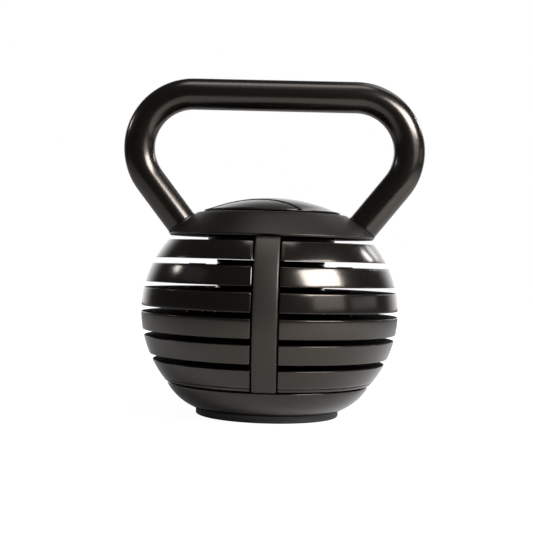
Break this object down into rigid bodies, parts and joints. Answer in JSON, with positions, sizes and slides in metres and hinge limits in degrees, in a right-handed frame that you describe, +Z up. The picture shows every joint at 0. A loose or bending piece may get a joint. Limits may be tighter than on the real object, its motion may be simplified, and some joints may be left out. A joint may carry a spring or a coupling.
{
  "type": "adjustable kettlebell",
  "caption": "Ball-shaped kettlebell of loose cast plates on a base with two guide bars, clamped by a lock dial and screw spindle under a bent tube handle.",
  "frame": {"origin": "centre of the rubber foot ring's flat bottom face, on the spindle's axis", "axes": "+Z up along the spindle, +X along the handle's grip, -Y to the front guide bar"},
  "size_m": [0.2456, 0.208, 0.2721],
  "materials": {
    "enamel": "black semi-gloss enamel on cast iron, faintly textured",
    "tube_enamel": "smooth black semi-gloss enamel on steel tube",
    "bar_enamel": "satin black enamel on steel",
    "rubber": "matt black rubber",
    "steel": "zinc-plated steel",
    "black_oxide": "black oxide steel"
  },
  "bodies": {
    "base_assembly": {"base": "enamel", "foot_ring": "rubber", "base_nut": "steel", "front_bar": "bar_enamel", "rear_bar": "bar_enamel", "front_bar_screw": "steel", "rear_bar_screw": "steel"},
    "loose_plate_6": {"plate_6": "enamel"},
    "loose_plate_5": {"plate_5": "enamel"},
    "loose_plate_4": {"plate_4": "enamel"},
    "loose_plate_3": {"plate_3": "enamel"},
    "loose_plate_2": {"plate_2": "enamel"},
    "loose_plate_1": {"plate_1": "enamel"},
    "head": {"top_cap": "enamel", "handle_tube": "tube_enamel", "handle_plug_right": "steel", "handle_plug_left": "steel", "handle_bolt_right": "black_oxide", "handle_bolt_left": "black_oxide", "bolt_washer_right": "black_oxide", "bolt_washer_left": "black_oxide", "thrust_washer": "steel", "lower_washer": "steel"},
    "dial": {"lock_dial": "enamel", "dial_pad_front": "enamel", "dial_pad_rear": "enamel", "spindle": "steel", "dial_pin": "steel", "retaining_ring": "steel"}
  },
  "joints": [
    {"name": "plate_6_lift", "type": "slide", "parent": "base_assembly", "child": "loose_plate_6", "axis": [0, 0, 1], "range_m": [0, 0.128]},
    {"name": "plate_5_lift", "type": "slide", "parent": "loose_plate_6", "child": "loose_plate_5", "axis": [0, 0, 1], "range_m": [0, 0.106]},
    {"name": "plate_4_lift", "type": "slide", "parent": "loose_plate_5", "child": "loose_plate_4", "axis": [0, 0, 1], "range_m": [0, 0.087]},
    {"name": "plate_3_lift", "type": "slide", "parent": "loose_plate_4", "child": "loose_plate_3", "axis": [0, 0, 1], "range_m": [0, 0.068]},
    {"name": "plate_2_lift", "type": "slide", "parent": "loose_plate_3", "child": "loose_plate_2", "axis": [0, 0, 1], "range_m": [0, 0.049]},
    {"name": "plate_1_lift", "type": "slide", "parent": "loose_plate_2", "child": "loose_plate_1", "axis": [0, 0, 1], "range_m": [0, 0.029]},
    {"name": "head_lift", "type": "slide", "parent": "loose_plate_1", "child": "head", "axis": [0, 0, 1], "range_m": [0, 0.14]},
    {"name": "dial_turn", "type": "hinge", "parent": "head", "child": "dial", "pos_m": [0, 0, 0.17], "axis": [0, 0, 1], "continuous": true}
  ]
}
